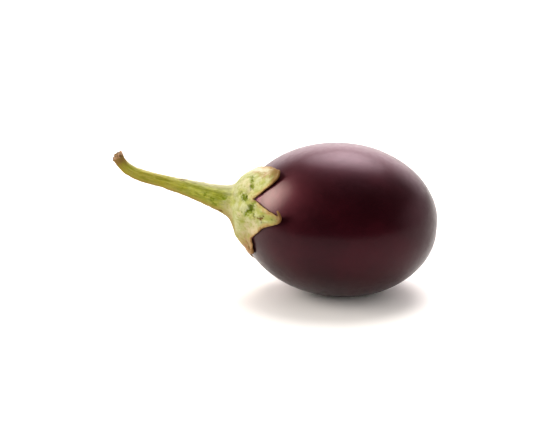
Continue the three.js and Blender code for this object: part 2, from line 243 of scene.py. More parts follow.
STALK_MARKS = [
    ((5.6, 62), (6.2, 66), 0.50, 0.35, 0.9, 0.0),
    ((9.6, 84), (10.2, 86), 0.35, 0.25, 0.8, 0.2),
    ((12.6, 66), (13.1, 67), 0.35, 0.25, 0.9, 0.0),
    ((8.2, 102), (8.8, 104), 0.30, 0.20, 0.7, 0.2),
    ((15.2, 95), (16.8, 97), 0.25, 0.20, 0.3, 0.6),
    ((22.4, 74), (23.2, 76), 0.30, 0.20, 0.7, 0.0),
    ((5.2, 128), (8.4, 139), 0.45, 0.45, 0.0, 1.0),
    ((6.6, 250), (7.6, 256), 0.50, 0.35, 0.8, 0.0),
    ((13.0, 290), (14.2, 293), 0.35, 0.25, 0.8, 0.0),
    ((24.0, 230), (26.0, 233), 0.30, 0.25, 0.2, 0.7),
    ((31.0, 120), (33.5, 123), 0.25, 0.20, 0.2, 0.6),
]
# The marks are crooked: they stray this far, in lumps of this size.
MARK_STRAY = 0.7
STRAY_SIZE = 1.4


def bell(x):
    return np.exp(-x * x)


def mix(a, b, t):
    return a + (b - a) * t


def smooth(t):
    c = np.clip(t, 0, 1)
    return c * c * (3 - 2 * c)


def wrapped(angle):
    return np.arctan2(np.sin(angle), np.cos(angle))


def length(v):
    return np.linalg.norm(v, axis=-1, keepdims=True)


def unit(v):
    return v / length(v)


def scaled(v, s):
    return v * np.asarray(s)[..., None]


def skin_point(theta, phi):
    side = np.sin(theta)
    end = np.cos(theta)
    full = 1 - FULLNESS * end * side * side
    lobe = SHOULDER_LOBE * np.cos(LOBES * (phi - LOBE_TURN)) * bell((theta - LOBE_AT) / LOBE_SPREAD)
    oval = OVALITY * np.cos(2 * phi - OVAL_TURN)
    radius = HALF_WIDTH * side * full * (1 + (oval + lobe) * side * side)
    scar = STUB_HEIGHT * bell(radius / STUB_RADIUS) - SCAR_DEPTH * bell(radius / SCAR_RADIUS)
    x = -HALF_LENGTH * end * full + np.where(end < 0, scar, 0)
    return np.stack([x, -radius * np.sin(phi), radius * np.cos(phi)], -1)


# Polar angles on the fruit for lengths over the skin from its stem end.
REACHES = np.linspace(-1, 60, 12201)
THETAS = np.zeros_like(REACHES)
ANGLE_STEPS = 48
for step in range(ANGLE_STEPS):
    slope = np.hypot(HALF_LENGTH * np.sin(THETAS), HALF_WIDTH * np.cos(THETAS))
    THETAS += REACHES / ANGLE_STEPS / slope


def polar_angle(reach):
    return np.interp(reach, REACHES, THETAS)


def normal_of(surface, u, v):
    step = 2e-3
    along = surface(u + step, v) - surface(u - step, v)
    across = surface(u, v + step) - surface(u, v - step)
    return unit(np.cross(across, along))


def margin_off(down, taper):
    """How far off its middle a sepal's margin lies, at a share of the way from the tip to the notch."""
    blunt = TIP_BLUNTNESS * math.sqrt(smooth(down / TIP_ROUNDING))
    return mix(blunt, 1, mix(down**taper, down, MARGIN_SLOPE))


def grid_lines():
    """The grid lines of the calyx and stalk, one array entry each."""
    rows = []
    for k, sepal in enumerate(SEPALS):
        after = SEPALS[(k + 1) % len(SEPALS)]
        end = after["notch"] + (360 if after["notch"] < sepal["middle"] else 0)
        for i in range(-LINES_PER_SIDE, LINES_PER_SIDE):
            off = abs(i) / LINES_PER_SIDE
            before = i < 0
            edge = sepal["notch"] if before else end
            root = sepal["root"] if before else after["root"]
            down = off**LINE_CROWDING
            taper = sepal["before"] if before else sepal["after"]
            margin = margin_off(down, taper) if off else 0
            # Each side of each sepal takes its nicks from another place in the noise.
            nicks = noise.noise(Vector((NICKS * down, 3.1 * k, 5.7 * before)))
            wave = MARGIN_WAVE * math.sin(MARGIN_WAVES * down + sepal["middle"]) + NICK_DEPTH * nicks
            rows.append(
                dict(
                    sepal=k,
                    root=sepal["root"],
                    next_root=after["root"],
                    middle=sepal["middle"] * DEG,
                    top=sepal["reach"],
                    curled=sepal["curled"],
                    lift=sepal["lift"],
                    turn=sepal["turn"] * DEG,
                    aside=sepal["aside"] * DEG,
                    lean=sepal["lean"] * DEG,
                    phi=mix(sepal["middle"], edge, off) * DEG,
                    margin_phi=mix(sepal["middle"], edge, margin) * DEG,
                    margin_reach=mix(sepal["reach"], root, down) + wave * 4 * down * (1 - down),
                )
            )
    return SimpleNamespace(**{key: np.array([row[key] for row in rows]) for key in rows[0]})


def one_line(lines, azimuth):
    """The grid line whose azimuth on the stalk is nearest to the one given."""
    nearest = int(np.argmin(np.abs(wrapped(lines.phi - azimuth))))
    return SimpleNamespace(**{key: values[nearest] for key, values in vars(lines).items()})


def place_on(lines, share):
    """The reach and azimuth on the grid lines, a share of the way from the flare to the margin."""
    gathered = 1 - (1 - share) ** LINE_GATHERING
    return mix(FLARE_REACH, lines.margin_reach, share), mix(lines.phi, lines.margin_phi, gathered)


NOTCHES = np.array([sepal["notch"] * DEG for sepal in SEPALS])
MIDDLES = np.array([sepal["middle"] * DEG for sepal in SEPALS])


def outward(lines, reach, phi):
    """How far out on its sepal a point lies, from 0 at the notches' reach to 1 at the tip."""
    share = smooth((wrapped(phi - lines.middle) / DEG + NOTCH_BLEND) / (2 * NOTCH_BLEND))
    root = mix(lines.root, lines.next_root, share)
    return np.clip((reach - root) / (lines.top - root), 0, 1)


def underside_point(lines, reach, phi):
    out = outward(lines, reach, phi)
    over = np.maximum(reach - (lines.top - lines.curled), 0)
    azimuth = phi + lines.lean * out * out
    theta = polar_angle(reach - over)
    normal = normal_of(skin_point, theta, azimuth)
    point = skin_point(theta, azimuth) + scaled(normal, SKIN_GAP + lines.lift * out**3)
    side = np.stack([np.zeros_like(azimuth), -np.cos(azimuth), -np.sin(azimuth)], -1)
    along = np.cross(normal, side)
    toward = scaled(normal, np.cos(lines.aside)) + scaled(side, np.sin(lines.aside))
    turn = lines.turn / lines.curled * over
    radius = lines.curled / lines.turn
    off_middle = wrapped(phi - lines.middle) * HALF_WIDTH * np.sin(theta)
    off = np.minimum(off_middle * np.sin(lines.aside), TIGHTEST_CURL * radius)
    bent = scaled(along, (radius - off) * np.sin(turn))
    return point + bent + scaled(toward, (radius - off) * (1 - np.cos(turn)))


def thickness_at(lines, reach, phi):
    above = np.cos(phi - THICKEST_AT)
    shoulder = SHOULDER_THICKNESS + SHOULDER_LEAN * above
    shoulder_end = SHOULDER_END + SHOULDER_DRIFT * above
    out = outward(lines, reach, phi)
    fall = smooth((reach - SHOULDER_START) / (shoulder_end - SHOULDER_START))
    body = mix(shoulder, mix(MARGIN_THICKNESS, TIP_THICKNESS, out), fall)
    radius = HALF_WIDTH * np.sin(polar_angle(reach))
    off_keel = wrapped(phi - lines.middle) * radius
    keel = KEEL_HEIGHT * (1 - out) * bell(off_keel / KEEL_WIDTH)
    notch = np.min(np.abs(wrapped(np.asarray(phi)[..., None] - NOTCHES)), axis=-1)
    groove = GROOVE_DEPTH * bell(notch * radius / GROOVE_WIDTH) * (1 - out)
    beside = bell((np.abs(off_keel) - CREASE_OFF) / CREASE_LENGTH)
    across = beside * bell((reach - CREASE_REACH) / CREASE_WIDTH)
    return np.maximum(body + keel - groove - CREASE_DEPTH * across * (1 - out), LEAST_THICKNESS)


def upperside_point(lines, reach, phi):
    def under(r, p):
        return underside_point(lines, r, p)

    normal = normal_of(under, reach, phi)
    return under(reach, phi) + scaled(normal, thickness_at(lines, reach, phi))


def stalk_line():
    steps = 190
    s = np.arange(steps + 1) * STALK_LENGTH / steps
    hooked = np.maximum((s - HOOK_START) / (STALK_LENGTH - HOOK_START), 0)
    rise = STALK_RISE + HOOK_TURN * hooked**HOOK_POWER
    sway = SIDE_SWAY * np.sin(2 * math.pi * s / STALK_LENGTH)
    to = unit(np.stack([-np.cos(rise), np.sin(sway), np.sin(rise)], -1))
    moved = np.cumsum(to * STALK_LENGTH / steps, axis=0)
    at = STALK_START + np.vstack([np.zeros(3), moved[:-1]])
    return s, at, to


LINE_S, LINE_AT, LINE_TO = stalk_line()


def bark_radius(s, phi):
    plain = TIP_RADIUS + BASE_SWELL * np.exp(-s / SWELL_LENGTH)
    ribs = np.sum(bell(wrapped(np.asarray(phi)[..., None] - MIDDLES) / RIB_WIDTH), axis=-1)
    strip = bell(wrapped(phi - FLAP_AT) / FLAP_WIDTH) * smooth((FLAP_END - s) / FLAP_FADE)
    strip_height = FLAP_HEIGHT + FLAP_SWELL * np.exp(-s / FLAP_SWELL_LENGTH)
    return plain * (1 + RIB_HEIGHT * (ribs - 0.5)) + strip_height * strip


def stalk_point(s, phi, share=1.0, past=0.0):
    s, phi, past = np.broadcast_arrays(np.asarray(s, float), phi, past)
    at = np.stack([np.interp(s, LINE_S, LINE_AT[:, i]) for i in range(3)], -1)
    to = unit(np.stack([np.interp(s, LINE_S, LINE_TO[:, i]) for i in range(3)], -1))
    side = unit(np.array([0.0, -1.0, 0.0]) + scaled(to, to[..., 1]))
    up = np.cross(to, side)
    radius = bark_radius(s, phi) * share
    round_it = scaled(up, radius * np.cos(phi)) + scaled(side, radius * np.sin(phi))
    return at + scaled(to, past) + round_it


def lip_share(phi):
    """1 on the spread lip of the torn end, and 0 on the rest of its rim."""
    return smooth(1.5 * bell(wrapped(phi - LIP_AT) / LIP_WIDTH) - 0.25)


def waves(rows, phi):
    """The sum of waves round the stalk, each with a height, a count and a turn."""
    return sum(height * np.sin(count * phi + turn) for height, count, turn in rows)


def tear_height(share, phi):
    """How far the torn end stands past the lip's level, with the fibres of the torn rim."""
    lip = lip_share(phi)
    ragged = waves(TEAR_WAVES, phi)
    fibres = waves(FIBRE_WAVES, phi)
    rim = mix(STUB_RISE + ragged + fibres, LIP_RISE + 0.4 * fibres, lip)
    groove = mix(STUB_RISE - GROOVE_DROP + ragged, -LIP_RISE, lip)
    core = STUB_RISE - CORE_DROP + 0.6 * ragged * np.minimum(share, CORE_END)
    outer = mix(groove, rim, smooth((share - RIM_START) / (1 - RIM_START)))
    return mix(core, outer, smooth((share - CORE_END) / (RIM_START - CORE_END)))


def flare_points(lines, shares):
    start = stalk_point(FLARE_START, lines.phi)
    reach = np.full_like(lines.phi, FLARE_REACH)
    end = upperside_point(lines, reach, lines.phi)
    ahead = unit(upperside_point(lines, reach + 0.1, lines.phi) - end)
    back = unit(stalk_point(FLARE_START - 0.5, lines.phi) - stalk_point(FLARE_START + 0.5, lines.phi))
    span = length(end - start)
    first = start + back * FLARE_PULLS[0] * span
    second = end - ahead * FLARE_PULLS[1] * span
    t = np.asarray(shares)[:, None, None]
    curve = start * (1 - t) ** 3 + first * 3 * t * (1 - t) ** 2
    return curve + second * 3 * t * t * (1 - t) + end * t**3


def laid(points):
    """Points about the fruit's middle, turned to lie on the table, in metres."""
    drop = math.hypot(HALF_LENGTH * math.sin(PITCH), HALF_WIDTH * math.cos(PITCH))
    spread = (HALF_LENGTH**2 - HALF_WIDTH**2) * math.sin(PITCH) * math.cos(PITCH)
    x = points[:, 0] * math.cos(PITCH) + points[:, 2] * math.sin(PITCH) - spread / drop
    z = points[:, 2] * math.cos(PITCH) - points[:, 0] * math.sin(PITCH) + drop - FLAT_DEPTH
    return np.stack([x, points[:, 1], z], -1) * MM


def closed_mesh(name, first, rings, last, down):
    """One closed body from rings of points between two end points. down turns the faces over."""
    count = rings.shape[1]
    points = np.vstack([first[None], rings.reshape(-1, 3), last[None]])
    faces = []
    for j in range(count):
        k = (j + 1) % count
        tail = 1 + (len(rings) - 1) * count
        faces.append((0, 1 + k, 1 + j))
        faces.append((len(points) - 1, tail + j, tail + k))
        for i in range(len(rings) - 1):
            a = 1 + i * count
            faces.append((a + j, a + k, a + count + k, a + count + j))
    if down:
        faces = [face[::-1] for face in faces]
    mesh = bpy.data.meshes.new(name)
    mesh.from_pydata(points.tolist(), [], faces)
    mesh.shade_smooth()
    return mesh


def point_normals(mesh):
    normals = np.empty(len(mesh.vertices) * 3)
    mesh.vertex_normals.foreach_get("vector", normals)
    return normals.reshape(-1, 3)


def lumps(points, size, octaves=3):
    """Smooth noise from about -1 to 1 at points in mm, with lumps of that size."""
    return np.array([noise.fractal(Vector(p) / size, 0.6, 2.0, octaves) for p in points.tolist()])


def store(mesh, name, values):
    attribute = mesh.attributes.new(name, "FLOAT", "POINT")
    attribute.data.foreach_set("value", np.ascontiguousarray(values, dtype=np.float32))


def store_vector(mesh, name, values):
    attribute = mesh.attributes.new(name, "FLOAT_VECTOR", "POINT")
    attribute.data.foreach_set("vector", np.ascontiguousarray(values, dtype=np.float32).ravel())


def nearest_distance(points, targets):
    near = np.full(len(points), 1e9)
    for target in targets:
        near = np.minimum(near, np.sum((points - target) ** 2, axis=1))
    return np.sqrt(near)


def segment_distance(points, start, end):
    along = end - start
    share = np.clip((points - start) @ along / max(along @ along, 1e-9), 0, 1)
    return np.linalg.norm(points - start - share[:, None] * along, axis=1)


def finished(mesh, name, points, node):
    """The object of a mesh whose points are given in mm about the fruit's middle."""
    mesh.vertices.foreach_set("co", laid(points).ravel())
    mesh.update()
    obj = bpy.data.objects.new(name, mesh)
    bpy.context.scene.collection.objects.link(obj)
    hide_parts(node)
    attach(obj, "root")
    return obj


def calyx_grid(lines):
    """Rings of points from the stalk's torn end to the inside of the flare, with five values for
    each point: its length along the stalk, reach, azimuth, how torn it is, and 1 on the outside."""
    shares = (np.arange(SEPAL_RINGS) / (SEPAL_RINGS - 1)) ** RING_SPREAD
    reach, phi = place_on(lines, shares[:, None])
    upper = upperside_point(lines, reach, phi)
    under_shares = (1 - np.arange(UNDER_RINGS) / (UNDER_RINGS - 1))[:, None]
    under_reach, under_phi = place_on(lines, under_shares)
    under = underside_point(lines, under_reach, under_phi)

    # The margin is rounded between the upper and the under face.
    bulge = unit(upper[-1] - upper[-3])
    edge_shares = (np.arange(1, EDGE_RINGS + 1) / (EDGE_RINGS + 1))[:, None, None]
    edge = mix(upper[-1], under[0], edge_shares) + EDGE_BULGE * np.sin(math.pi * edge_shares) * bulge
    edge_outside = np.zeros((EDGE_RINGS, 1))
    edge_outside[0] = 1

    inner_reach = FLARE_REACH * np.array(INNER_SHARES)[:, None] + np.zeros_like(lines.phi)
    inner = underside_point(lines, inner_reach, np.broadcast_to(lines.phi, inner_reach.shape))

    s = mix(STALK_LENGTH - 0.1, FLARE_START, np.arange(STALK_RINGS) / (STALK_RINGS - 1))[:, None]
    bark = stalk_point(s, lines.phi)
    flare = flare_points(lines, np.arange(1, FLARE_RINGS) / FLARE_RINGS)
    flare_s = np.linspace(FLARE_START, 0, FLARE_RINGS - 1)[:, None]

    lip = lip_share(lines.phi)
    torn = []
    for share in TEAR_SHARES:
        spread = share * (1 + LIP_SPREAD * lip * smooth((share - 0.6) / 0.4))
        torn.append(stalk_point(STALK_LENGTH, lines.phi, spread, tear_height(share, lines.phi)))
    # The bark's outside between the rim and the first ring of the stalk.
    sleeve = []
    for share in SLEEVE_SHARES:
        height = tear_height(1.0, lines.phi) * share
        spread = 1 + LIP_SPREAD * lip * share
        sleeve.append(stalk_point(STALK_LENGTH, lines.phi, spread, height))
    sleeve_torn = np.array(SLEEVE_TORN)[:, None]

    parts = [
        (np.array(torn), STALK_LENGTH, 0, lines.phi, 1, 1),
        (np.array(sleeve), STALK_LENGTH, 0, lines.phi, sleeve_torn, 1),
        (bark, s, 0, lines.phi, 0, 1),
        (flare, flare_s, 0, lines.phi, 0, 1),
        (upper, 0, reach, phi, 0, 1),
        (edge, 0, lines.margin_reach, phi[-1], 0, edge_outside),
        (under, 0, under_reach, under_phi, 0, 0),
        (inner, 0, 0, lines.phi, 0, 0),
    ]
    rings = np.concatenate([part[0] for part in parts])
    values = []
    for k in range(1, 6):
        columns = [np.broadcast_to(part[k], part[0].shape[:2]) for part in parts]
        values.append(np.concatenate(columns).astype(float))
    return rings, values, edge[1]


def with_ends(grid):
    """One value for each point of a mesh of rings: its first point, the rings and its last point."""
    return np.concatenate([[grid[0, 0]], grid.ravel(), [grid[-1, -1]]])


def round_stalk(along, azimuth, radius):
    """A place for noise that runs along the stalk and sepals, on a circle of this radius round them."""
    return np.stack([along, radius * np.cos(azimuth), radius * np.sin(azimuth)], -1)


def marks(lines, points, soft, fine):
    """At each point, how deep the small marks are, and how dark green and how brown."""
    spots = []
    for start, end, *rest in CALYX_MARKS:
        ends = []
        for mark_reach, mark_azimuth in (start, end):
            line = one_line(lines, mark_azimuth * DEG)
            ends.append(upperside_point(line, np.array(mark_reach), np.array(mark_azimuth * DEG)))
        spots.append((*ends, *rest))
    for start, end, *rest in STALK_MARKS:
        ends = [stalk_point(place[0], place[1] * DEG) for place in (start, end)]
        spots.append((*ends, *rest))
    astray = np.stack([lumps(points + shift, STRAY_SIZE) for shift in (11.0, 23.0, 37.0)], -1)
    bent = points + MARK_STRAY * astray
    depth = np.zeros(len(points))
    green = np.zeros(len(points))
    brown = np.zeros(len(points))
    for start, end, width, deep, greenness, brownness in spots:
        away = segment_distance(bent, start, end) / width * (1 + 0.7 * fine + 0.4 * soft)
        depth += deep * bell(away)
        green = np.maximum(green, greenness * (0.65 * bell(away / 1.2) + 0.35 * bell(away / 2.2)))
        brown = np.maximum(brown, brownness * bell(away))
    return depth, green, brown


def dry_places(stem, azimuth, reach, on_stalk, on_first, fine):
    """At each point, how dry the calyx is, how pale its strip, and how brown the strip's torn end.

    The pale strip runs along the top of the stalk, and on the first sepal beyond a ragged border
    that bends down towards the tip. The border itself is brown. The pale is partly their own
    colour and partly painted highlight on the tops that face the light.
    """
    to_end = FLAP_END - STRIP_SHORT - stem + STRIP_RAGGED * fine
    scab = bell(wrapped(azimuth - SCAB_AT) / SCAB_WIDTH) * bell((to_end - SCAB_BACK) / SCAB_LENGTH)
    scab = 0.55 * scab * on_stalk * (1 + 0.8 * fine)
    strip = bell(wrapped(azimuth - PALE_AT) / PALE_WIDTH) * np.maximum(smooth(to_end / 1.2), 0.4)
    bend = smooth((reach - BORDER_START) / BORDER_LENGTH)
    beyond = mix(BORDER_NEAR, BORDER_FAR, bend) - wrapped(azimuth) / DEG + BORDER_RAGGED * fine
    first = on_first * smooth((reach - FIRST_START) / FIRST_FADE)
    pale = np.maximum(strip * on_stalk, smooth(beyond / 5) * first)
    dry = bell(wrapped(azimuth - DRY_AT) / DRY_WIDTH) * smooth((reach - DRY_START) / 5)
    brown_border = 0.9 * bell((beyond + 2.5) / 3.5) * first * smooth((reach - 16) / 2)
    return np.maximum(dry, brown_border), pale, scab


def calyx_and_stalk():
    lines = grid_lines()
    rings, values, margin_line = calyx_grid(lines)
    reaches, phis = values[1:3]
    out = with_ends(outward(lines, reaches, phis) * (reaches > 0))
    on_first = with_ends(np.broadcast_to(lines.sepal == 0, reaches.shape).astype(float))
    stem, reach, azimuth, torn, outside = [with_ends(grid) for grid in values]
    on_sepal = (reach > 0).astype(float)
    on_stalk = smooth(stem / STALK_FADE)

    first = stalk_point(STALK_LENGTH, 0.0, 0.0, tear_height(0.0, 0.0))
    last = skin_point(0.0, 0.0) + np.array([-SKIN_GAP, 0.0, 0.0])
    mesh = closed_mesh("calyx_and_stalk_fine", first, rings, last, False)
    points = np.vstack([first[None], rings.reshape(-1, 3), last[None]])
    mesh.vertices.foreach_set("co", points.ravel())
    mesh.update()
    normals = point_normals(mesh)
    margin = np.where(on_sepal > 0, nearest_distance(points, margin_line), FAR_FROM_MARGIN)

    # Finer relief: soft lumps, ridges that run along the stalk, and veins that fan over the sepals.
    soft = lumps(points, SOFT_SIZE)
    fine = lumps(points, FINE_SIZE)
    ridges = lumps(round_stalk(stem / RIDGE_LENGTH, azimuth, RIDGES_ROUND), 1.0, 4)
    veins = lumps(round_stalk(reach / VEIN_LENGTH, azimuth, VEINS_ROUND), 1.0, 3)
    depth, green, brown = marks(lines, points, soft, fine)
    fade = smooth(margin / 1.5)
    push = SOFT_HEIGHT * soft * fade + FINE_HEIGHT * fine * (1 - torn)
    push += on_stalk * (1 - torn) * RIDGE_HEIGHT * ridges + on_sepal * VEIN_HEIGHT * veins * fade
    push += torn * TORN_HEIGHT * fine
    points = points + scaled(normals, (push - depth) * outside)

    dry, pale, scab = dry_places(stem, azimuth, reach, on_stalk, on_first, fine)
    from_low = np.abs(wrapped(azimuth - LOW_AT)) / DEG
    low = smooth((LOW_OUTSIDE - from_low) / (LOW_OUTSIDE - LOW_INSIDE)) * smooth(stem / 3 + 0.4)
    store(mesh, "margin", margin)
    store(mesh, "stem", stem)
    store(mesh, "pit", np.clip(green, 0, 1) * outside)
    store(mesh, "slit", np.clip(np.maximum(brown, scab), 0, 1) * outside)
    store(mesh, "out", out)
    store(mesh, "torn", torn)
    store(mesh, "hollow", np.clip(0.5 - 0.5 * (ridges * on_stalk + veins * on_sepal), 0, 1))
    store(mesh, "dry", dry)
    store(mesh, "strip", pale)
    store(mesh, "low", low)
    grain = round_stalk(stem / GRAIN_LENGTH + reach / GRAIN_LENGTH, azimuth, GRAIN_ROUND)
    store_vector(mesh, "grain", grain)
    return finished(mesh, "calyx_and_stalk_fine", points, "calyx_and_stalk"), margin_line


def fruit(calyx_margin):
    t = np.arange(1, FRUIT_RINGS) / FRUIT_RINGS
    theta = math.pi * (t + RING_DRIFT * np.sin(math.pi * t) ** 2)
    phi = 2 * math.pi * np.arange(FRUIT_SIDES) / FRUIT_SIDES
    rings = skin_point(theta[:, None], phi[None, :])
    first = skin_point(0.0, 0.0)
    last = skin_point(math.pi, 0.0)
    mesh = closed_mesh("fruit_fine", first, rings, last, True)
    points = np.vstack([first[None], rings.reshape(-1, 3), last[None]])
    # The first grid line of each sepal ends in the notch before it.
    notches = calyx_margin[:: 2 * LINES_PER_SIDE]
    distances = []
    for notch, fade in zip(notches, BLUSH_FADE):
        distances.append(nearest_distance(points, notch[None]) + fade)
    store(mesh, "notch_distance", np.min(distances, axis=0))
    elsewhere = np.where(points[:, 0] < 0, FAR_FROM_SCAR, 0)
    store(mesh, "scar", np.hypot(points[:, 1], points[:, 2]) + elsewhere)
    mesh.vertices.foreach_set("co", points.ravel())
    mesh.update()
    normals = point_normals(mesh)
    dents = DENT_DEPTH * lumps(points, DENT_SIZE, 2)
    points = points + scaled(normals, dents)
    obj = finished(mesh, "fruit_fine", points, "fruit")
    # The fruit is flat where it rests on the table.
    rested = np.empty(len(mesh.vertices) * 3)
    mesh.vertices.foreach_get("co", rested)
    rested[2::3] = np.maximum(rested[2::3], 0)
    mesh.vertices.foreach_set("co", rested)
    mesh.update()
    return obj


class Nodes:
    """A material with one Principled shader, and short ways to add and join its nodes."""

    def __init__(self, name):
        self.material = bpy.data.materials.new(name)
        self.material.use_nodes = True
        self.tree = self.material.node_tree
        self.shader = self.tree.nodes["Principled BSDF"]

    def add(self, kind, settings=(), inputs=()):
        node = self.tree.nodes.new(kind)
        for name, value in dict(settings).items():
            setattr(node, name, value)
        for name, value in dict(inputs).items():
            self.put(node.inputs[name], value)
        return node

    def put(self, socket, value):
        if isinstance(value, bpy.types.NodeSocket):
            self.tree.links.new(value, socket)
        else:
            socket.default_value = value

    def attribute(self, name, output="Fac"):
        return self.add("ShaderNodeAttribute", dict(attribute_name=name)).outputs[output]

    def place(self):
        return self.add("ShaderNodeTexCoord").outputs["Object"]

    def noise(self, scale, detail=3.0, roughness=0.55, vector=None):
        inputs = {"Vector": vector or self.place(), "Scale": scale}
        inputs.update({"Detail": detail, "Roughness": roughness})
        return self.add("ShaderNodeTexNoise", inputs=inputs).outputs["Fac"]

    def between(self, value, low, high, start=0.0, end=1.0):
        """value taken smoothly from the range low to high to the range start to end."""
        settings = dict(interpolation_type="SMOOTHSTEP")
        inputs = {"Value": value, "From Min": low, "From Max": high, "To Min": start, "To Max": end}
        return self.add("ShaderNodeMapRange", settings, inputs).outputs["Result"]

    def math(self, operation, a, b=0.0):
        node = self.add("ShaderNodeMath", dict(operation=operation))
        self.put(node.inputs[0], a)
        self.put(node.inputs[1], b)
        return node.outputs[0]

    def total(self, a, b):
        return self.math("ADD", a, b)

    def product(self, a, b):
        return self.math("MULTIPLY", a, b)

    def ragged(self, value, noise, amount):
        """value with a noise added, so that what it borders gets a ragged edge."""
        return self.total(value, self.product(self.math("SUBTRACT", noise, 0.5), amount))

    def blend(self, share, a, b):
        node = self.add("ShaderNodeMix", dict(data_type="RGBA"))
        self.put(node.inputs["Factor"], share)
        for label, value in (("A", a), ("B", b)):
            socket = next(i for i in node.inputs if i.name == label and i.type == "RGBA")
            self.put(socket, value if isinstance(value, bpy.types.NodeSocket) else (*value, 1.0))
        return next(o for o in node.outputs if o.type == "RGBA")

    def bump(self, height, distance, strength):
        inputs = {"Height": height, "Distance": distance, "Strength": strength}
        return self.add("ShaderNodeBump", inputs=inputs).outputs["Normal"]

    def into(self, name, value):
        self.put(self.shader.inputs[name], value)


# The skin's colours, and how deep its grain looks
DARK_MAROON = (0.0095, 0.0010, 0.0015)
RED_MAROON = (0.0175, 0.0013, 0.0023)
MAUVE = (0.180, 0.050, 0.090)
SCAR_TAN = (0.300, 0.205, 0.120)
SKIN_BUMP = 0.06 * MM
COAT_BUMP = 0.03 * MM


def skin_material():
    m = Nodes("glossy_dark_skin")
    broad = m.noise(38, 3)
    grain = m.noise(1500, 2, 0.6)
    fine = m.noise(420, 3, 0.6)
    colour = m.blend(m.between(broad, 0.38, 0.64), DARK_MAROON, RED_MAROON)
    away = m.ragged(m.attribute("notch_distance"), fine, 3.0)
    speckle = m.between(grain, 0.35, 0.62, 0.75, 1.0)
    blush = m.product(m.between(away, 0.3, 4.6, 1.0, 0.0), speckle)
    colour = m.blend(blush, colour, MAUVE)
    scar = m.ragged(m.attribute("scar"), fine, 2.4)
    colour = m.blend(m.between(scar, 1.1, 2.4, 1.0, 0.0), colour, SCAR_TAN)
    m.into("Base Color", colour)
    m.into("Roughness", m.between(fine, 0.3, 0.7, 0.40, 0.48))
    m.into("IOR", 1.33)
    m.into("Specular IOR Level", 0.33)
    m.into("Specular Tint", (1.0, 0.09, 0.27, 1.0))
    m.into("Coat Weight", 0.47)
    m.into("Coat Roughness", 0.22)
    m.into("Coat IOR", 1.27)
    bumps = m.total(m.product(grain, 0.6), m.noise(260, 2, 0.5))
    m.into("Normal", m.bump(bumps, SKIN_BUMP, 0.6))
    m.into("Coat Normal", m.bump(bumps, COAT_BUMP, 0.5))
    return m.material


# The colours of the calyx and stalk, and how deep their grain looks
PALE_GREEN = (0.39, 0.385, 0.215)
DEEP_GREEN = (0.25, 0.26, 0.070)
PALE_TAN = (0.48, 0.39, 0.26)
OLIVE = (0.15, 0.165, 0.005)
OLIVE_LIGHT = (0.29, 0.295, 0.026)
PIT_GREEN = (0.115, 0.150, 0.004)
SLIT_BROWN = (0.10, 0.040, 0.012)
MARGIN_TAN = (0.34, 0.21, 0.08)
MARGIN_BROWN_AND_SHADOW = (0.13, 0.058, 0.020)
DRY_TAN = (0.25, 0.120, 0.055)
TIP_BROWN_AND_SHADE = (0.115, 0.050, 0.017)
GOLDEN = (0.25, 0.19, 0.008)
LOW_BROWN = (0.235, 0.150, 0.042)
WITHERED = (0.165, 0.085, 0.028)
PALE_TAN_AND_HIGHLIGHT = (0.44, 0.40, 0.29)
TORN_PINK = (0.38, 0.215, 0.125)
TORN_DARK = (0.07, 0.035, 0.015)
CALYX_BUMP = 0.22 * MM


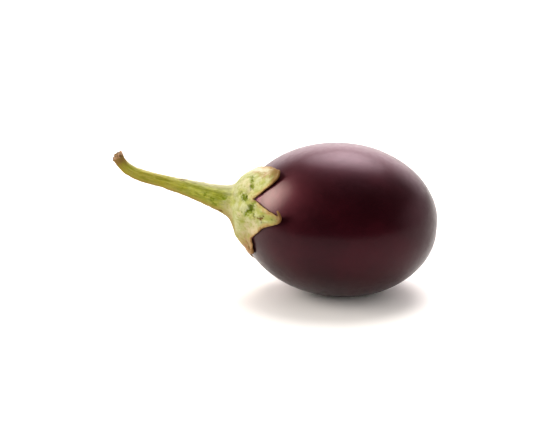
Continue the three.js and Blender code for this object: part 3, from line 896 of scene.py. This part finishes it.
def calyx_material():
    m = Nodes("green_calyx_and_stalk")
    margin = m.attribute("margin")
    stem = m.attribute("stem")
    grain = m.attribute("grain", "Vector")
    mottle = m.noise(330, 4, 0.6)
    patches = m.noise(150, 3, 0.55)
    speck = m.noise(1300, 2, 0.6)
    fibre = m.noise(2.2, 5, 0.65, grain)
    colour = m.blend(m.between(mottle, 0.36, 0.66), DEEP_GREEN, PALE_GREEN)
    colour = m.blend(m.between(patches, 0.50, 0.70, 0.0, 0.7), colour, PALE_TAN)
    grit = m.noise(900, 3, 0.7)
    colour = m.blend(m.between(grit, 0.50, 0.66, 0.0, 0.6), colour, DEEP_GREEN)
    stalk = m.blend(m.between(fibre, 0.35, 0.65), OLIVE, OLIVE_LIGHT)
    stalk = m.blend(m.between(stem, 14.0, 34.0, 0.0, 0.7), stalk, GOLDEN)
    colour = m.blend(m.between(stem, 0.0, 9.0, 0.0, 0.85), colour, stalk)
    hollow = m.between(m.attribute("hollow"), 0.5, 0.85, 0.0, 0.45)
    colour = m.blend(hollow, colour, OLIVE)
    # The pale along the top of the stalk and on the first sepal: partly their own colour, partly
    # painted highlight
    strip = m.product(m.attribute("strip"), m.between(fibre, 0.3, 0.6, 0.55, 1.0))
    colour = m.blend(strip, colour, PALE_TAN_AND_HIGHLIGHT)
    low = m.product(m.attribute("low"), m.between(fibre, 0.35, 0.6, 0.5, 0.95))
    colour = m.blend(low, colour, LOW_BROWN)
    margin = m.ragged(margin, m.noise(420, 4, 0.65), 3.2)
    colour = m.blend(m.between(margin, 0.3, 1.8, 0.9, 0.0), colour, MARGIN_TAN)
    # The margin's very edge in darker brown: partly the margin's own browning, partly painted shadow of
    # the gap under it
    colour = m.blend(m.between(margin, 0.0, 0.8, 0.85, 0.0), colour, MARGIN_BROWN_AND_SHADOW)
    dry = m.product(m.attribute("dry"), m.between(mottle, 0.35, 0.6, 0.45, 1.0))
    colour = m.blend(dry, colour, DRY_TAN)
    # The sepals' tips: their own dried brown, made darker as painted shade for the hollows of their
    # curls
    tip = m.product(m.between(m.attribute("out"), 0.5, 0.82), m.between(mottle, 0.3, 0.6, 1.0, 0.75))
    colour = m.blend(tip, colour, TIP_BROWN_AND_SHADE)
    specks = m.between(speck, 0.66, 0.74, 0.0, 0.55)
    colour = m.blend(specks, colour, SLIT_BROWN)
    colour = m.blend(m.between(m.attribute("pit"), 0.05, 0.75, 0.0, 0.97), colour, PIT_GREEN)
    colour = m.blend(m.between(m.attribute("slit"), 0.2, 0.8), colour, SLIT_BROWN)
    torn_colour = m.blend(m.between(m.noise(700, 4, 0.7), 0.42, 0.56), TORN_PINK, TORN_DARK)
    withered = m.ragged(stem, mottle, 6.0)
    colour = m.blend(m.between(withered, 45.0, 49.4, 0.0, 0.9), colour, WITHERED)
    colour = m.blend(m.between(m.attribute("torn"), 0.3, 0.9), colour, torn_colour)
    m.into("Base Color", colour)
    m.into("Roughness", m.total(m.between(mottle, 0.3, 0.7, 0.45, 0.62), m.product(tip, 0.25)))
    m.into("IOR", 1.42)
    m.into("Specular IOR Level", 0.18)
    m.into("Specular Tint", (1.0, 0.95, 0.15, 1.0))
    relief = m.total(m.product(fibre, 0.7), m.total(mottle, m.product(speck, 0.4)))
    m.into("Normal", m.bump(relief, CALYX_BUMP, 0.8))
    return m.material


# The table's profile from front to back, and the wall that it bends up into, in metres
FLOOR_FRONT = -0.21
FLOOR_BEND = 1.12
BEND_RADIUS = 0.4
BEND_STEPS = 12
WALL_TOP = 0.45
FLOOR_HALF_WIDTH = 1.6


def floor():
    mesh = bpy.data.meshes.new("table_top")
    angles = np.linspace(0, math.pi / 2, BEND_STEPS)
    rise = []
    for angle in angles:
        rise.append((FLOOR_BEND + BEND_RADIUS * math.sin(angle), BEND_RADIUS * (1 - math.cos(angle))))
    profile = [(FLOOR_FRONT, 0.0), *rise, (rise[-1][0], WALL_TOP)]
    points = [(x, y, z) for y, z in profile for x in (-FLOOR_HALF_WIDTH, FLOOR_HALF_WIDTH)]
    faces = [(2 * i, 2 * i + 1, 2 * i + 3, 2 * i + 2) for i in range(len(profile) - 1)]
    mesh.from_pydata(points, [], faces)
    mesh.shade_smooth()
    obj = bpy.data.objects.new("table_top", mesh)
    bpy.context.scene.collection.objects.link(obj)
    m = Nodes("pale_table")
    m.into("Base Color", (0.91, 0.87, 0.83, 1.0))
    m.into("Roughness", 0.6)
    m.into("Specular IOR Level", 0.2)
    mesh.materials.append(m.material)


# The lights, each with its name, its place, what it aims at, its size, its brightness and its colour.
# The first ones are seen only in the gloss, and the fills only light the surfaces.
STEM_END = (-0.023, -0.017, 0.040)
TOP = (0.0, 0.01, 0.055)
GLOSS_LIGHTS = [
    ("overhead_gloss", (0.08, 0.35, 0.66), TOP, (0.47, 0.40), 14.6, (1.0, 0.92, 0.98)),
    ("side_gloss", (-0.70, -0.035, 0.40), STEM_END, (0.45, 0.45), 32.5, (1.0, 0.97, 0.80)),
    ("back_gloss", (0.10, 0.90, 0.50), TOP, (1.70, 0.75), 3.8, (1.0, 0.80, 0.86)),
    ("left_gloss", (-0.75, 0.25, 0.02), STEM_END, (0.50, 0.20), 1.9, (0.86, 0.80, 1.0)),
    ("right_gloss", (0.80, 0.10, 0.16), TOP, (0.90, 0.36), 1.5, (1.0, 0.74, 0.80)),
]
FILL_LIGHTS = [
    ("overhead_fill", (0.05, 0.34, 0.80), TOP, (0.8, 0.8), 5.0, (1.0, 1.0, 1.0)),
    ("side_fill", (-0.70, -0.10, 0.45), TOP, (0.45, 0.45), 4.0, (1.0, 0.94, 0.88)),
]
# A soft light's ellipses, as shares of its size, and how far apart they stand
SOFT_SHARES = (0.5, 1.0, 1.5)
SOFT_SPACING = 0.05
# How bright the world is, as it lights the scene and as the camera sees it
AIR_STRENGTH = 0.98
BACKDROP_STRENGTH = 1.05


def area_light(name, place, aim, size, radiance, colour, in_gloss):
    """An elliptical light that is seen only in the gloss, or only lights the surfaces."""
    light = bpy.data.lights.new(name, "AREA")
    light.shape = "ELLIPSE"
    light.size, light.size_y = size
    light.energy = radiance * math.pi * size[0] * size[1]
    light.color = colour
    obj = bpy.data.objects.new(name, light)
    obj.location = place
    obj.rotation_mode = "QUATERNION"
    obj.rotation_quaternion = (Vector(aim) - Vector(place)).to_track_quat("-Z", "Y")
    obj.visible_camera = False
    obj.visible_diffuse = not in_gloss
    obj.visible_glossy = in_gloss
    bpy.context.scene.collection.objects.link(obj)


def softbox(name, place, aim, size, radiance, colour):
    """A light with soft ends, of three ellipses. The wider ones are further back."""
    for share in SOFT_SHARES:
        back = 1 + SOFT_SPACING * share
        at = [a + back * (b - a) for a, b in zip(aim, place)]
        area = (share * size[0], share * size[1])
        area_light(f"{name}_{share}", at, aim, area, radiance / len(SOFT_SHARES), colour, True)


def studio():
    for light in GLOSS_LIGHTS:
        softbox(*light)
    for light in FILL_LIGHTS:
        area_light(*light, False)
    world = bpy.data.worlds.new("studio")
    world.use_nodes = True
    world.cycles_visibility.glossy = False
    bpy.context.scene.world = world
    tree = world.node_tree
    background = tree.nodes["Background"]
    path = tree.nodes.new("ShaderNodeLightPath")
    shade = tree.nodes.new("ShaderNodeMapRange")
    shade.inputs["To Min"].default_value = AIR_STRENGTH
    shade.inputs["To Max"].default_value = BACKDROP_STRENGTH
    tree.links.new(path.outputs["Is Camera Ray"], shade.inputs["Value"])
    tree.links.new(shade.outputs["Result"], background.inputs["Strength"])
    background.inputs["Color"].default_value = (1.0, 1.0, 1.0, 1.0)


def camera():
    """In front of the fruit's middle, and turned a little towards the stalk to frame the whole."""
    elevation = 20 * DEG
    away = 0.9
    aside = 0.0242
    fruit_middle = Vector((-0.0017, 0.0, 0.0287))
    data = bpy.data.cameras.new("camera")
    data.sensor_width = 36.0
    data.lens = 154.2
    data.clip_start = 0.01
    data.clip_end = 20.0
    obj = bpy.data.objects.new("camera", data)
    back = Vector((0.0, -math.cos(elevation), math.sin(elevation)))
    obj.location = fruit_middle + away * back
    obj.rotation_mode = "QUATERNION"
    turn = Quaternion((0.0, 1.0, 0.0), math.atan(aside / away))
    obj.rotation_quaternion = (-back).to_track_quat("-Z", "Y") @ turn
    bpy.context.scene.collection.objects.link(obj)
    bpy.context.scene.camera = obj


calyx, calyx_margin = calyx_and_stalk()
calyx.data.materials.append(calyx_material())
berry = fruit(calyx_margin)
berry.data.materials.append(skin_material())
floor()
studio()
camera()
bpy.context.scene.view_settings.view_transform = "Standard"
bpy.context.scene.view_settings.look = "None"
